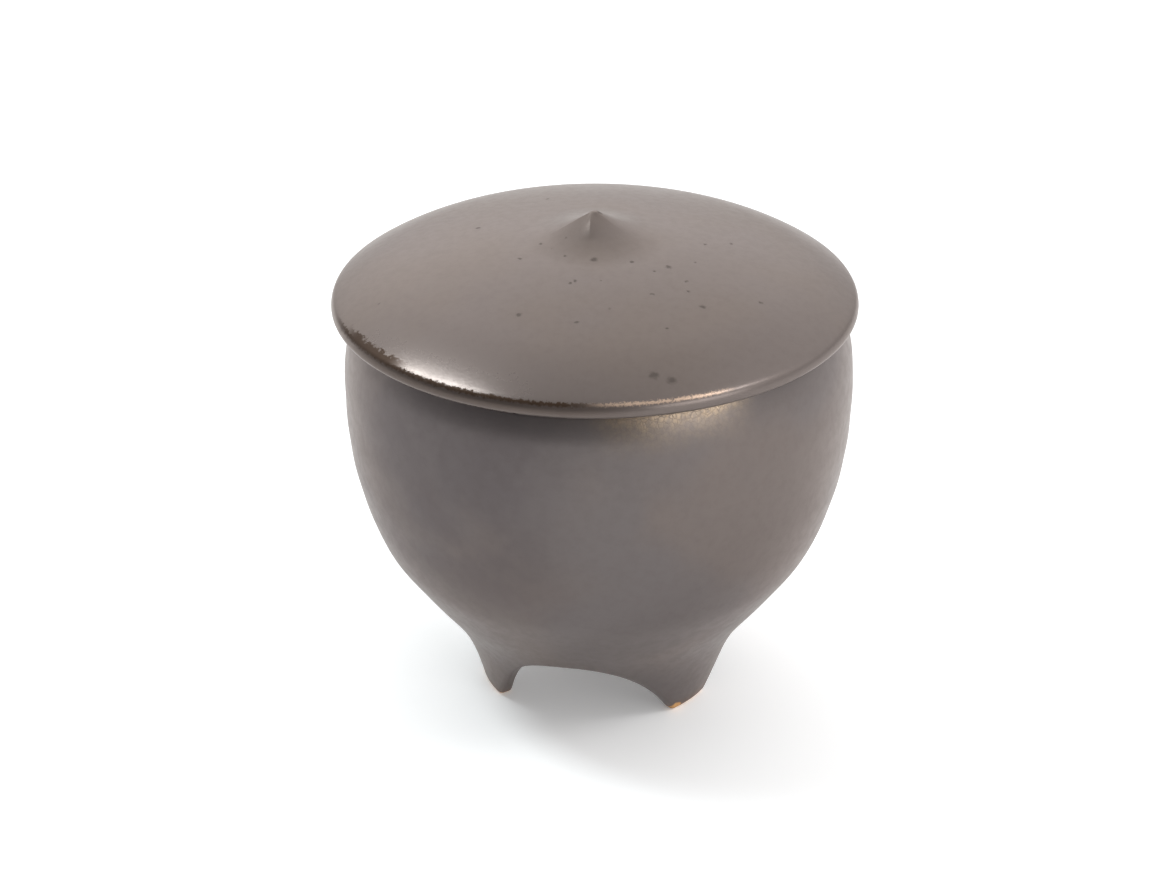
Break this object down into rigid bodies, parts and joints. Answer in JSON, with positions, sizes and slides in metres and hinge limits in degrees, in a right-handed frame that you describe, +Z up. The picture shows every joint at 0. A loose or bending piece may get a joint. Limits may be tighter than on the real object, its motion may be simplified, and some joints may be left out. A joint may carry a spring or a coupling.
{
  "type": "incense burner",
  "caption": "Round ceramic incense burner on short feet, with a loose domed lid drawn up into a small peak, a bed of ash inside and a cone of incense on it.",
  "frame": {"origin": "on the ground, midway between the three feet and below the middle of the bowl", "axes": "+Z up along the bowl's turning axis; one foot points along +Y and the other two stand either side of -Y"},
  "size_m": [0.1301, 0.1301, 0.1285],
  "materials": {
    "bowl_glaze": "satin",
    "lid_glaze": "satin",
    "bare_clay": "matte",
    "ash": "matte",
    "incense": "matte"
  },
  "bodies": {
    "bowl_body": {"bowl": "bowl_glaze", "ash_bed": "ash", "incense_cone": "incense"},
    "lid_body": {"lid": "lid_glaze"}
  },
  "joints": [
    {"name": "lid_lift", "type": "slide", "parent": "bowl_body", "child": "lid_body", "axis": [0, 0, 1], "range_m": [0, 0.1]}
  ]
}
